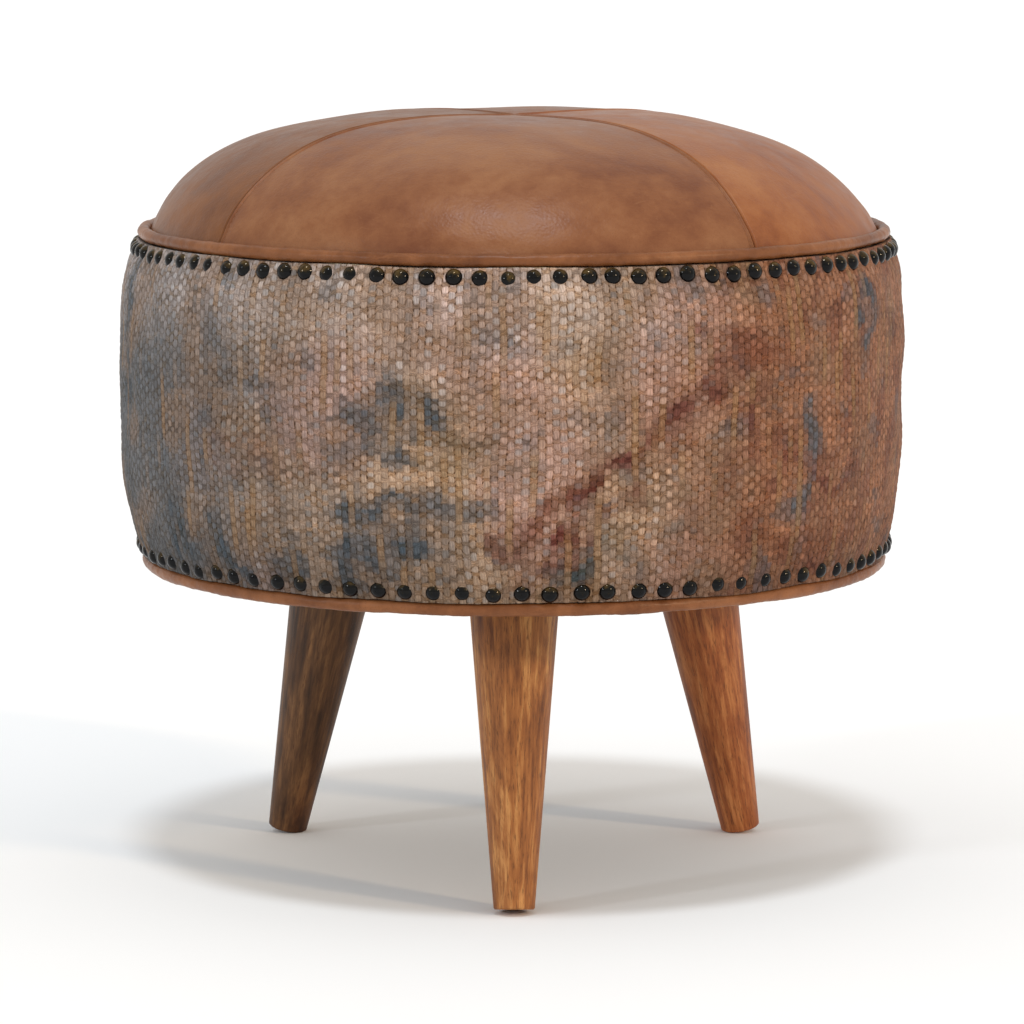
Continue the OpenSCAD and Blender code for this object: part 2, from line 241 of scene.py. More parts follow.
def beads(name, places, along, out, length, thick, material):
    """Many small rounded beads, such as stitches, in one piece."""
    across = np.cross(out, along)
    turn = np.arange(BEAD_SIDES) * TAU / BEAD_SIDES
    lean = (np.arange(BEAD_RINGS) + 0.5) / BEAD_RINGS * math.pi
    ring_r, ring_x = np.sin(lean) ** 0.6, -np.cos(lean)
    local = np.stack(np.broadcast_arrays(
        ring_x[:, None] * length / 2,
        ring_r[:, None] * np.cos(turn) * thick / 2,
        ring_r[:, None] * np.sin(turn) * thick / 2), axis=-1).reshape(-1, 3)
    verts = (places[:, None, :] + local[None, :, :1] * along[:, None, :]
             + local[None, :, 1:2] * across[:, None, :] + local[None, :, 2:] * out[:, None, :])
    size = BEAD_RINGS * BEAD_SIDES
    one = np.concatenate([grid_quads(BEAD_RINGS, BEAD_SIDES, close_cols=True),
                          BEAD_CAP[:, ::-1], BEAD_CAP + size - BEAD_SIDES])
    quads = (np.arange(len(places))[:, None, None] * size + one[None]).reshape(-1, 4)
    return mesh_piece(name, verts.reshape(-1, 3), quads, material)


# ---- materials ----

# A warp yarn's bump and a weft yarn's run, as shares of the column and of the bump's pitch
WARP_HALF, WARP_TALL, WEFT_HALF = 0.5, 0.36, 0.26


class Look:
    """A material and the nodes that make it, with a short call for each kind of node."""

    def __init__(self, name, rough=0.5, **sockets):
        self.material = bpy.data.materials.new(name)
        self.material.use_nodes = True
        self.tree = self.material.node_tree
        self.shader = self.tree.nodes["Principled BSDF"]
        self.shader.inputs["Roughness"].default_value = rough
        for socket, value in sockets.items():
            self.shader.inputs[socket.replace("_", " ")].default_value = value

    def node(self, kind, **settings):
        """A new node of that kind, with its settings."""
        made = self.tree.nodes.new("ShaderNode" + kind)
        for key, value in settings.items():
            setattr(made, key, value)
        return made

    def put(self, value, socket):
        """Links the value to the socket, or sets it there."""
        if isinstance(value, bpy.types.NodeSocket):
            self.tree.links.new(value, socket)
        elif isinstance(value, tuple) and len(value) == 3 and socket.type == "RGBA":
            socket.default_value = (*value, 1)
        else:
            socket.default_value = value

    def math(self, operation, a, b=0.0, c=0.0):
        """The result of a Math node."""
        made = self.node("Math", operation=operation)
        for value, socket in zip((a, b, c), made.inputs):
            self.put(value, socket)
        return made.outputs[0]

    def times(self, a, b):
        """a times b."""
        return self.math("MULTIPLY", a, b)

    def less(self, a, b):
        """a less b."""
        return self.math("SUBTRACT", a, b)

    def blend(self, a, b, c):
        """a times b, plus c."""
        return self.math("MULTIPLY_ADD", a, b, c)

    def wave(self, value):
        """A sine between 0 and 1."""
        return self.blend(self.math("SINE", value), 0.5, 0.5)

    def stretch(self, place, scale=(1, 1, 1), shift=(0, 0, 0), turn=(0, 0, 0)):
        """A place, scaled, turned and moved."""
        made = self.node("Mapping")
        self.put(place, made.inputs["Vector"])
        made.inputs["Scale"].default_value = scale
        made.inputs["Rotation"].default_value = turn
        made.inputs["Location"].default_value = shift
        return made.outputs["Vector"]

    def object_place(self, shift=(0, 0, 0), turn=(0, 0, 0)):
        """The place on the object, turned and moved."""
        return self.stretch(self.node("TexCoord").outputs["Object"], shift=shift, turn=turn)

    def parts(self, vector):
        """X, Y and Z of a vector."""
        made = self.node("SeparateXYZ")
        self.put(vector, made.inputs[0])
        return made.outputs

    def noise(self, place, size, detail=4.0, rough=0.5, warp=0.0):
        """Noise whose largest features are about size metres across."""
        made = self.node("TexNoise")
        self.put(place, made.inputs["Vector"])
        made.inputs["Scale"].default_value = 1 / size
        made.inputs["Detail"].default_value = detail
        made.inputs["Roughness"].default_value = rough
        made.inputs["Distortion"].default_value = warp
        return made.outputs["Fac"]

    def cells(self, place, size, feature="F1"):
        """Distance in cells about size metres across."""
        made = self.node("TexVoronoi", feature=feature)
        self.put(place, made.inputs["Vector"])
        made.inputs["Scale"].default_value = 1 / size
        return made.outputs["Distance"]

    def ramp(self, value, *stops):
        """Colour or grey through (position, colour or number) stops."""
        made = self.node("ValToRGB")
        self.put(value, made.inputs["Fac"])
        points = made.color_ramp.elements
        while len(points) < len(stops):
            points.new(0.5)
        for point, (at, colour) in zip(points, stops):
            point.position = at
            grey = isinstance(colour, (int, float))
            point.color = (colour, colour, colour, 1) if grey else (*colour, 1)
        return made.outputs["Color"]

    def mix(self, share, a, b, blend="MIX"):
        """Colour b laid over a by that share."""
        made = self.node("Mix", data_type="RGBA", blend_type=blend)
        self.put(share, made.inputs[0])
        self.put(a, made.inputs[6])
        self.put(b, made.inputs[7])
        return made.outputs[2]

    def tint(self, a, b):
        """Colour a times colour b."""
        return self.mix(1.0, a, b, "MULTIPLY")

    def colour(self, value):
        """Sets the base colour."""
        self.put(value, self.shader.inputs["Base Color"])

    def roughness(self, value):
        """Sets the roughness."""
        self.put(value, self.shader.inputs["Roughness"])

    def relief(self, height, depth):
        """Bumps the surface by height, where 1 is depth metres. Calls build on each other."""
        made = self.node("Bump")
        made.inputs["Distance"].default_value = depth
        made.inputs["Strength"].default_value = 1
        self.put(height, made.inputs["Height"])
        normal = self.shader.inputs["Normal"]
        if normal.is_linked:
            self.put(normal.links[0].from_socket, made.inputs["Normal"])
        self.put(made.outputs["Normal"], normal)


LEATHER_GLOSS = 0.36


def leather_look(name, light, mid, dark, shift):
    """Waxed cow leather: mottled tan, fine pebbled grain, a few creases and pale scars."""
    look = Look(name, Specular_IOR_Level=0.2)
    place = look.object_place(shift)
    cloud = look.noise(place, 0.07, 5, 0.6, 0.5)
    mottle = look.noise(place, 0.012, 6, 0.65)
    both = look.blend(mottle, 0.35, look.times(cloud, 0.65))
    base = look.ramp(both, (0.36, dark), (0.5, mid), (0.64, light))
    pores = look.cells(place, 0.0011)
    base = look.mix(look.ramp(pores, (0.0, 0.55), (0.35, 0.0)), base, dark)
    scar = look.noise(look.stretch(place, (1, 1, 6)), 0.05, 2, 0.4, 1.2)
    scar = look.ramp(look.math("ABSOLUTE", look.less(scar, 0.5)), (0, 0.3), (0.006, 0))
    look.colour(look.mix(scar, base, light))
    look.roughness(look.ramp(mottle, (0.3, LEATHER_GLOSS - 0.07), (0.7, LEATHER_GLOSS + 0.09)))
    look.relief(look.noise(place, 0.02, 3, 0.5), 0.5 * MM)
    look.relief(look.cells(place, 0.0016, "SMOOTH_F1"), 0.11 * MM)
    look.relief(look.noise(place, 0.0012, 4, 0.6), 0.07 * MM)
    return look.material


def rug_look():
    """Plain-woven cloth of thick, loosely spun yarn. The mesh gives the dye of each yarn, with
    painted shade towards the bottom, and its place in the weave; the nodes add ply, fibres, the
    thin weft and painted shade in the recesses."""
    look = Look("rug_cloth", rough=0.92, Sheen_Weight=0.08, Sheen_Roughness=0.5,
                Specular_IOR_Level=0.12)
    dye = look.node("Attribute", attribute_name="dye").outputs["Color"]
    weave = look.parts(look.node("UVMap", uv_map="weave").outputs["UV"])
    u, v = weave["X"], weave["Y"]
    place = look.object_place()
    fibre = look.noise(look.stretch(place, (1, 1, 0.4)), 0.0011, 5, 0.75)
    fuzz = look.noise(place, 0.0024, 4, 0.65)
    cross = look.noise(look.stretch(place, (0.3, 0.3, 1)), 0.0012, 4, 0.7)
    worn = look.noise(place, 0.008, 4, 0.6)
    bend = look.noise(look.stretch(place, (1, 1, 0.5)), 0.006, 2, 0.5)
    slide = look.noise(look.stretch(place, shift=(0.3, 0.1, 0.2)), 0.005, 2, 0.5)
    ragged = look.times(look.less(fuzz, 0.5), 1.8)

    # The place on a warp yarn's bump, from -0.5 to 0.5 each way and a little uneven
    odd = look.math("MODULO", look.math("FLOOR", u), 2.0)
    across = look.less(look.math("FRACT", u), 0.5)
    across = look.blend(look.less(bend, 0.5), 0.5, across)
    along = look.less(look.math("FRACT", look.blend(odd, 0.5, v)), 0.5)
    along = look.blend(look.less(slide, 0.5), 0.9, along)
    side, rise = look.math("ABSOLUTE", across), look.math("ABSOLUTE", along)

    # The bump itself, and painted shade in a thin outline round it and in the pits at its corners
    wide = look.math("POWER", look.math("DIVIDE", side, WARP_HALF), 3.0)
    tall = look.math("POWER", look.math("DIVIDE", rise, WARP_TALL), 3.0)
    warp = look.math("ADD", look.less(1.0, look.math("ADD", wide, tall)), ragged)
    on_warp = look.ramp(warp, (0.0, 0.0), (0.8, 1.0))
    outline = look.ramp(look.math("ADD", warp, 0.5), (0.05, 0.0), (0.45, 0.42), (0.95, 0.0))
    edge = look.math("DIVIDE", look.less(0.5, side), 0.14)
    notch = look.math("DIVIDE", look.less(rise, 0.25), 0.16)
    pit_shade = look.math("ADD", look.times(edge, edge), look.times(notch, notch))
    pit_shade = look.math("ADD", look.less(1.0, pit_shade), look.times(ragged, 0.5))
    pit_shade = look.times(look.ramp(pit_shade, (0.0, 0.0), (0.9, 1.0)),
                     look.ramp(worn, (0.38, 0.25), (0.56, 0.95)))

    # Twisted plies on the warp, fine threads along the weft
    lean = look.blend(across, 16.0, look.times(along, 2.0))
    ply = look.wave(look.blend(fuzz, 6.0, lean))
    threads = look.times(look.less(0.5, rise), 46.0)
    threads = look.wave(look.blend(cross, 3.0, threads))
    ochre = look.ramp(worn, (0.4, tone(246, 242, 238)), (0.64, tone(236, 218, 194)))
    weft_dye = look.tint(look.tint(dye, ochre), look.ramp(threads, (0.0, 0.74), (1.0, 1.32)))
    warp_dye = look.tint(dye, look.ramp(ply, (0.0, 0.98), (1.0, 1.3)))
    base = look.mix(on_warp, weft_dye, warp_dye)
    # painted shade: the dye darkened and laid into the outline and the pits between the yarns
    recess_shade = look.tint(dye, tone(128, 106, 88))
    base = look.mix(look.math("MAXIMUM", pit_shade, outline), base, recess_shade)
    look.colour(look.tint(base, look.ramp(fibre, (0.3, 0.76), (0.7, 1.24))))
    look.relief(on_warp, 0.1 * MM)
    look.relief(ply, 0.09 * MM)
    look.relief(fibre, 0.22 * MM)
    return look.material


def wood_look(name, turn, shift, light, mid, dark, heart):
    """Oiled mango wood with its grain along the local Z axis."""
    look = Look(name, Specular_IOR_Level=0.25)
    place = look.object_place(shift, turn)
    figure = look.noise(look.stretch(place, (1, 1, 0.16)), 0.016, 6, 0.62, 1.2)
    streak = look.noise(look.stretch(place, (1, 1, 0.04)), 0.003, 5, 0.62)
    grain = look.blend(streak, 0.45, look.times(figure, 0.55))
    base = look.ramp(grain, (0.38, dark), (0.5, mid), (0.6, light))
    fleck = look.noise(look.stretch(place, (1, 1, 0.1)), 0.0008, 3, 0.6)
    base = look.mix(look.ramp(fleck, (0.54, 0.0), (0.68, 0.6)), base, tone(70, 40, 20))
    band = look.noise(look.stretch(place, (1, 1, 0.15), (3, 1, 0)), 0.035, 3, 0.5, 0.5)
    band = look.ramp(band, (0.52, 0.0), (0.62, heart))
    look.colour(look.mix(band, base, look.tint(base, tone(150, 120, 100))))
    look.roughness(look.ramp(grain, (0.35, 0.42), (0.65, 0.55)))
    look.relief(streak, 0.25 * MM)
    look.relief(look.ramp(fleck, (0.6, 1.0), (0.72, 0.0)), 0.12 * MM)
    return look.material


def bronze_look():
    """Aged bronze: nearly black, with greenish brown rubbed through in patches, and painted light
    making the upper side lighter.
    """
    look = Look("nail_bronze", Specular_IOR_Level=0.26, Metallic=0.35)
    place = look.object_place()
    # painted light: the base colour grows lighter where the surface faces up
    upward_light = look.parts(look.node("TexCoord").outputs["Normal"])["Z"]
    patch = look.less(look.noise(place, 0.006, 4, 0.6), 0.5)
    rubbed_and_lit = look.blend(patch, 1.2, look.blend(upward_light, 0.4, 0.32))
    look.colour(look.ramp(rubbed_and_lit, (0.3, tone(6, 6, 8)), (0.5, tone(18, 16, 11)),
                          (0.8, tone(86, 66, 30))))
    look.roughness(look.ramp(look.noise(place, 0.002, 3, 0.6), (0.3, 0.08), (0.7, 0.14)))
    look.relief(look.noise(place, 0.003, 3, 0.6), 0.05 * MM)
    return look.material


def steel_look(name, bright, dull, rough):
    """Plated or painted steel, a little uneven."""
    look = Look(name, Metallic=1.0)
    place = look.object_place()
    look.colour(look.ramp(look.noise(place, 0.004, 5, 0.6), (0.35, dull), (0.65, bright)))
    look.roughness(look.ramp(look.noise(place, 0.002, 4, 0.6), (0.3, rough - 0.1),
                             (0.7, rough + 0.15)))
    look.relief(look.noise(place, 0.0006, 3, 0.5), 0.03 * MM)
    return look.material


def plywood_look():
    """Birch plywood: long soft figure on the faces, thin plies seen at the edge."""
    look = Look("plywood", 0.7)
    place = look.object_place()
    figure = look.noise(look.stretch(place, (0.15, 1, 1)), 0.02, 6, 0.6, 0.5)
    face = look.ramp(figure, (0.3, tone(176, 138, 92)), (0.7, tone(222, 190, 142)))
    plies = look.node("TexWave", bands_direction="Z")
    look.put(place, plies.inputs["Vector"])
    plies.inputs["Scale"].default_value = 110
    glue = look.ramp(plies.outputs["Fac"], (0.42, 0.0), (0.6, 0.45))
    look.colour(look.mix(glue, face, look.tint(face, tone(170, 140, 110))))
    look.relief(figure, 0.3 * MM)
    return look.material


def board_look(name, light, dark, stretch):
    """Plain wood or board, with its figure drawn out by stretch."""
    look = Look(name, 0.75)
    place = look.object_place()
    figure = look.noise(look.stretch(place, stretch), 0.012, 6, 0.62, 0.4)
    speck = look.noise(place, 0.0018, 4, 0.6)
    base = look.ramp(figure, (0.32, dark), (0.68, light))
    look.colour(look.mix(look.ramp(speck, (0.55, 0.0), (0.75, 0.4)), base, dark))
    look.relief(speck, 0.15 * MM)
    return look.material


def foam_look(name, light, dark, cell):
    """Open foam or loose fibre, by the size of its cells."""
    look = Look(name, 0.95, Sheen_Weight=0.2)
    place = look.object_place()
    pits = look.cells(place, cell)
    cloud = look.noise(place, 0.03, 4, 0.6)
    look.colour(look.mix(look.ramp(pits, (0.1, 0.5), (0.5, 0.0)),
                         look.ramp(cloud, (0.3, dark), (0.7, light)), dark))
    look.relief(pits, cell * 0.4)
    return look.material


def base_cloth_look():
    """Black spun-bonded cloth with its grid of small pressed dots."""
    look = Look("base_cloth", 0.85, Sheen_Weight=0.15)
    place = look.object_place()
    dots = look.cells(place, 0.0016)
    fibre = look.noise(place, 0.0012, 5, 0.7)
    look.colour(look.ramp(fibre, (0.3, tone(20, 20, 21)), (0.7, tone(44, 43, 42))))
    look.relief(dots, 0.15 * MM)
    look.relief(fibre, 0.1 * MM)
    return look.material


def thread_look(name, light, dark):
    """Spun thread or cord."""
    look = Look(name, 0.75)
    place = look.object_place()
    strand = look.noise(place, 0.0009, 4, 0.7)
    look.colour(look.ramp(strand, (0.3, dark), (0.7, light)))
    look.relief(strand, 0.08 * MM)
    return look.material


# ---- side cover ----

COLUMNS = 352
BUMP_PITCH = 6.2 * MM
COLUMN_STEPS = 5
BUMP_STEPS = 6
WEAVE_RISE = 0.6 * MM
WEFT_RISE = 0.62  # a weft yarn's height as a share of a full warp bump
WARP_CORNER = 2.6  # power of the bump's outline: 2 is round and more is squarer
YARN_APART = 3.7  # keeps the fields of neighbouring yarns apart
COVER_INNER_ROWS = 10
DIMPLE = 1.1 * MM
DIMPLE_R = 7 * MM
DIMPLE_REACH = 0.06  # radians
LEAN_COVER = 1.8 * MM  # the padding is a little fuller on the left
NAIL_GAP = math.radians(0.5)  # less than the bare angle between two nails


def nail_heads(node):
    """(angle, height) of each nail's head, from the row's own mesh."""
    co = coordinates(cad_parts[node].data)
    angle = np.arctan2(co[:, 0], -co[:, 1])
    order = np.argsort(angle)
    far = np.hypot(co[:, 0], co[:, 1])
    gaps = np.flatnonzero(np.diff(angle[order]) > NAIL_GAP) + 1
    groups = np.split(order, gaps)
    if angle[groups[0][0]] + TAU - angle[groups[-1][-1]] < NAIL_GAP:
        groups[0] = np.concatenate([groups[-1], groups[0]])
        groups.pop()
    heads = []
    for group in groups:
        head = co[group][far[group] > far[group].max() - 3 * MM]
        middle = (head.min(0) + head.max(0)) / 2
        heads.append((math.atan2(middle[0], -middle[1]), middle[2]))
    return np.array(heads)


def blotch(x, z, at, size, grain):
    """A soft-edged patch of print, ragged by grain."""
    far = np.hypot((x - at[0]) / size[0], (z - at[1]) / size[1]) + 0.25 * grain
    return step(1.5, 0.5, far)


def stroke(x, z, ends, width, grain):
    """A line of print through points, ragged by grain."""
    best = np.full(x.shape, 1e9)
    for (ax, az), (bx, bz) in zip(ends[:-1], ends[1:]):
        dx, dz = bx - ax, bz - az
        t = np.clip(((x - ax) * dx + (z - az) * dz) / (dx * dx + dz * dz), 0, 1)
        best = np.minimum(best, np.hypot(x - ax - t * dx, z - az - t * dz))
    return step(1.8, 0.3, best / width + 0.3 * grain)


BLUE, TEAL, MAROON = tone(60, 72, 82), tone(48, 74, 80), tone(84, 36, 32)
RUST, OLIVE, SLATE = tone(108, 66, 46), tone(88, 80, 62), tone(72, 80, 88)
BEIGE, PINK, GREY = tone(156, 131, 110), tone(160, 130, 117), tone(90, 90, 92)
WARM, PALE, EARTH = tone(132, 92, 69), tone(176, 162, 156), tone(122, 99, 80)
STAIN, OCHRE = tone(98, 56, 44), tone(142, 110, 74)
COLD_YARN = np.array([1.0, 1.04, 1.08])
PRINT_BEND = 3.0  # millimetres by which the print wavers

# The worn print, as colour, strength, place and size, in millimetres along the cloth from the
# front and up from the floor. One place is a blotch, and a list of places is a stroke.
PRINT = [
    (SLATE, 0.5, (-66, 291), (25, 23)),
    (BLUE, 0.85, (-66, 302), (9, 9)),
    (BLUE, 0.8, (-84, 288), (9, 10)),
    (BLUE, 0.8, (-46, 292), (9, 10)),
    (BLUE, 0.8, (-68, 274), (10, 8)),
    (SLATE, 0.45, (-76, 218), (28, 28)),
    (BLUE, 0.85, [(-95, 194), (-96, 240)], 8),
    (BLUE, 0.8, [(-96, 242), (-48, 243)], 5),
    (BLUE, 0.75, [(-92, 222), (-72, 214), (-58, 216)], 7),
    (BLUE, 0.75, (-60, 222), (8, 9)),
    (SLATE, 0.5, (-34, 220), (16, 22)),
    (SLATE, 0.6, [(-46, 240), (-12, 238)], 5),
    (BLUE, 0.9, (-226, 213), (10, 17)),
    (BLUE, 0.7, (-214, 203), (9, 8)),
    (BLUE, 0.8, [(-190, 222), (-178, 200), (-170, 194)], 6),
    (SLATE, 0.8, (-131, 214), (7, 18)),
    (SLATE, 0.6, (-140, 202), (10, 7)),
    (RUST, 0.4, [(104, 300), (60, 268), (34, 240), (10, 210)], 15),
    (MAROON, 0.75, [(97, 296), (82, 276), (60, 268), (44, 258), (34, 236), (22, 208)], 4.4),
    (MAROON, 0.7, [(44, 256), (34, 242), (28, 222), (34, 204)], 5),
    (MAROON, 0.55, [(12, 240), (0, 226), (-8, 212)], 5),
    (MAROON, 0.6, [(60, 268), (66, 244), (48, 226), (40, 200)], 3.4),
    (RUST, 0.5, [(44, 258), (20, 244), (4, 222)], 6),
    (TEAL, 0.8, (36, 205), (12, 9)),
    (TEAL, 0.5, (60, 214), (9, 8)),
    (SLATE, 0.85, [(181, 290), (182, 250), (178, 222)], 5),
    (MAROON, 0.65, [(142, 290), (143, 262)], 3),
    (BLUE, 0.85, [(242, 322), (250, 338), (238, 350), (230, 338)], 5.5),
    (MAROON, 0.6, [(104, 340), (112, 322), (100, 310), (116, 298)], 4),
    (MAROON, 0.55, [(150, 250), (176, 262), (206, 242), (238, 256)], 4),
    (RUST, 0.6, [(128, 226), (158, 214), (192, 222), (224, 204)], 6),
    (MAROON, 0.6, (198, 206), (12, 8)),
    (MAROON, 0.4, (132, 318), (24, 14)),
    (RUST, 0.5, (150, 322), (24, 10)),
    (BLUE, 0.8, [(-292, 352), (-296, 286)], 6),
    (SLATE, 0.5, [(-190, 330), (-168, 300), (-150, 306)], 6),
    (SLATE, 0.4, (-8, 330), (18, 8)),
    (OLIVE, 0.4, (-20, 268), (26, 12)),
    (OLIVE, 0.35, (96, 232), (30, 16)),
    (RUST, 0.3, (-150, 262), (34, 14)),
]


def worn_print(dye, along, height, grain, wear):
    """The dye with the print over it, drawn at the front and mirrored at the back."""
    girth = WIDE_R * TAU / MM
    for colour, strength, where, size in PRINT:
        draw = stroke if isinstance(where, list) else blotch
        for turn, mirror in ((0, 1), (girth / 2, -1)):
            x = mirror * ((along - turn + girth / 2) % girth - girth / 2)
            dye = toward(dye, colour, draw(x, height, where, size, grain) * strength * wear)
    return dye


def rug_dye_and_shade(angle, z, weft):
    """Colour of the yarn at each cell of the weave: ground, worn print, yarn differences and
    painted shade towards the bottom.
    The rows of angle are columns of the weave, and weft marks the cells with weft on top."""
    rng = np.random.default_rng(5)
    place = spot(angle, WIDE_R, z)
    along = angle * WIDE_R / MM + PRINT_BEND * ripple(place, 61, 0.03)
    height = z / MM + PRINT_BEND * ripple(place, 62, 0.03)
    grain = ripple(place, 63, 0.016) + 0.4 * rng.normal(size=angle.shape)

    # The ground: beige and pink in the middle, grey to the left, warm to the right
    dye = np.broadcast_to(BEIGE, (*angle.shape, 3))
    dye = toward(dye, PINK, step(-0.6, 1.2, ripple(place, 64, 0.11)))
    dye = toward(dye, GREY, step(0.0, -0.85, np.sin(angle + 0.2)))
    warm = step(0.15, 0.6, np.sin(angle - 0.05))
    dye = toward(dye, WARM, warm)
    top_band = step(COVER_HIGH - 60 * MM, COVER_HIGH - 8 * MM, z)
    dye = toward(dye, PALE, 0.45 * top_band * (1 - warm))
    dye = toward(dye, EARTH, 0.55 * step(0.0, 1.5, ripple(place, 65, 0.05)))
    stain = step(0.1, 1.5, ripple(place, 73, 0.028) + 0.3 * rng.normal(size=angle.shape))
    dye = toward(dye, STAIN, 0.5 * stain * warm)
    smudge = step(0.9, 2.2, ripple(place, 74, 0.024) + 0.3 * rng.normal(size=angle.shape))
    dye = toward(dye, SLATE, 0.45 * smudge)

    wear = 0.5 + 0.5 * step(-1.2, 0.4, ripple(place, 66, 0.02) + 0.4 * grain)
    dye = worn_print(dye, along, height, grain, wear)

    # Each yarn has its own brightness and tint along its run
    yarn = np.arange(angle.shape[0])[:, None] * YARN_APART
    run = np.stack(np.broadcast_arrays(yarn, 0 * yarn, z), axis=-1)
    pick = np.round(z / (BUMP_PITCH / 2)) * YARN_APART
    pick_run = np.stack([pick, 0 * pick, angle * WIDE_R], axis=-1)
    bright = 0.13 * np.where(weft, ripple(pick_run, 70, 0.06), ripple(run, 67, 0.05))
    dye = dye * np.exp(bright + 0.07 * rng.normal(size=angle.shape))[..., None]
    cold = step(0.2, 1.8, ripple(run, 68, 0.04) + 0.5 * rng.normal(size=angle.shape)) * 0.4
    grey_yarn = dye.mean(axis=-1, keepdims=True) * COLD_YARN
    dye = toward(dye, grey_yarn, cold * (1 - 0.6 * warm) * ~weft)
    dye = toward(dye, OCHRE, 0.5 * step(0.8, 2.0, ripple(run, 69, 0.06)))
    # painted shade: the cloth grows darker towards the bottom, where the barrel turns in
    shade = 0.62 + 0.38 * step(COVER_LOW, COVER_LOW + 50 * MM, z)
    return dye * shade[..., None]


def cover_lean(angle, place):
    """How far the cloth and its padding stand from the plain barrel: slack, and to one side."""
    share = np.clip((place[..., 2] - COVER_LOW) / (COVER_HIGH - COVER_LOW), 0, 1)
    middle = np.sin(math.pi * share) ** 0.6
    return 0.5 * MM * ripple(place, 33, 0.05) - LEAN_COVER * np.sin(angle) * middle


def weave(angle, z):
    """The plain weave over the cover: place in the weave (u, v), column and cell of the yarn on
    top, and how far it stands out. Even cells have weft on top, odd ones warp."""
    place = spot(angle, WIDE_R, z)
    u = np.arange(angle.size)[None, :] / COLUMN_STEPS + 0.12 * ripple(place, 31, 0.05)
    column = np.floor(u).astype(int)
    rng = np.random.default_rng(7)
    slip = rng.uniform(-0.16, 0.16, COLUMNS)
    v = (z - COVER_LOW) / BUMP_PITCH + 0.35 * ripple(place, 32, 0.12) + slip[column % COLUMNS]
    v = v - v.min() + 0.01
    shifted = v + 0.5 * (column % 2)
    row = np.floor(shifted).astype(int)
    cell = np.floor(2 * shifted + 0.5).astype(int)
    across, along = u - column - 0.5, shifted - row - 0.5
    warp = 1 - np.abs(across / WARP_HALF) ** WARP_CORNER - np.abs(along / WARP_TALL) ** WARP_CORNER
    warp = np.sqrt(np.clip(warp, 0, 1))
    weft = np.sqrt(np.clip(1 - ((0.5 - np.abs(along)) / WEFT_HALF) ** 2, 0, 1))
    size = rng.uniform(0.6, 1.15, (COLUMNS, row.max() + 2))
    body = np.maximum(warp * size[column % COLUMNS, row], WEFT_RISE * weft)
    return u, v, column % COLUMNS, cell, WEAVE_RISE * (body - 0.5)


def nail_dimples(angle, z):
    """How far the nails draw the cloth in."""
    depth = np.zeros((z.size, angle.size))
    for node in ("top_nails", "bottom_nails"):
        for turn, height in nail_heads(node):
            gap = (angle - turn + math.pi) % TAU - math.pi
            close = np.abs(gap[0]) < DIMPLE_REACH
            far2 = (gap[:, close] * WIDE_R) ** 2 + (z - height) ** 2
            depth[:, close] += DIMPLE * np.exp(-far2 / DIMPLE_R ** 2)
    return depth


def yarn_colours(column, cell):
    """The dye and painted shade at each place, looked up by the column and cell of the yarn on
    top.
    """
    columns = np.arange(COLUMNS)[:, None]
    cells = np.arange(cell.max() + 1)[None, :]
    angle = ((columns + 0.5) * TAU / COLUMNS + math.pi) % TAU - math.pi
    z = COVER_LOW + (cells / 2 - 0.5 * (columns % 2)) * BUMP_PITCH
    return rug_dye_and_shade(np.broadcast_to(angle, z.shape), z, cells % 2 == 0)[column, cell]


def rug_cover(material):
    """The woven cloth: one closed ring with every bump of the weave on its outer face."""
    around = COLUMNS * COLUMN_STEPS
    rows = int(round((COVER_HIGH - COVER_LOW) / BUMP_PITCH * BUMP_STEPS)) + 1
    z = np.linspace(COVER_LOW, COVER_HIGH, rows)[:, None]
    angle = np.arange(around)[None, :] * TAU / around
    u, v, column, cell, bumps = weave(angle, z)
    rise = bumps + cover_lean(angle, spot(angle, WIDE_R, z)) - nail_dimples(angle, z)
    profile = barrel_r(z)
    out, up = (side[:, None] for side in outline_normals(profile[:, 0], z[:, 0]))
    outer = spot(angle, profile + out * rise, z + up * rise)
    inner_z = np.linspace(COVER_HIGH, COVER_LOW, COVER_INNER_ROWS)[:, None]
    lean = cover_lean(angle, spot(angle, WIDE_R, inner_z))
    inner = spot(angle, barrel_r(inner_z) - COVER_T + lean, inner_z)
    verts = np.concatenate([outer.reshape(-1, 3), inner.reshape(-1, 3)])
    quads = grid_quads(rows + COVER_INNER_ROWS, around, close_cols=True, close_rows=True)
    piece = mesh_piece("rug_cover", verts, quads, material)

    dye = yarn_colours(column, cell)
    inside = np.broadcast_to(dye[:1] * 0.7, (COVER_INNER_ROWS, *dye.shape[1:]))
    dye = np.clip(np.concatenate([dye, inside]), 0.005, 1).reshape(-1, 3)
    colours = np.concatenate([dye, np.ones((len(dye), 1))], axis=1).astype(np.float32)
    layer = piece.data.color_attributes.new("dye", "FLOAT_COLOR", "POINT")
    layer.data.foreach_set("color", colours.ravel())

    # Each corner's place in the weave, without a jump where the ring closes
    u = np.concatenate([u, np.repeat(u[:1], COVER_INNER_ROWS, axis=0)]).ravel()[quads]
    v = np.concatenate([v, np.zeros((COVER_INNER_ROWS, around))]).ravel()[quads]
    step_round = quads % around
    closing = np.ptp(step_round, axis=1) > around / 2
    u[closing[:, None] & (step_round < around / 2)] += COLUMNS
    uv = np.stack([u, v], axis=-1).astype(np.float32)
    piece.data.uv_layers.new(name="weave").uv.foreach_set("vector", uv.ravel())
    ride(piece, "rug_cloth", "side_cover")


# ---- leather dome ----

DOME_ROWS = 110
SKIRT_ROWS = 8
EDGE_COLS = 16
MIDDLE_COLS = 44
EDGE_ZONE = 6.5 * MM
APEX_R = 0.3 * MM
STITCH_PITCH = 3.3 * MM
STITCH_OUT = 2.2 * MM
STITCH_START = 10 * MM
STITCH_SIDES = [-1, 1, -1, 1]  # which side of each seam its stitches are on
LEAN_DOME = 2.2 * MM  # the seat is a little fuller on the left


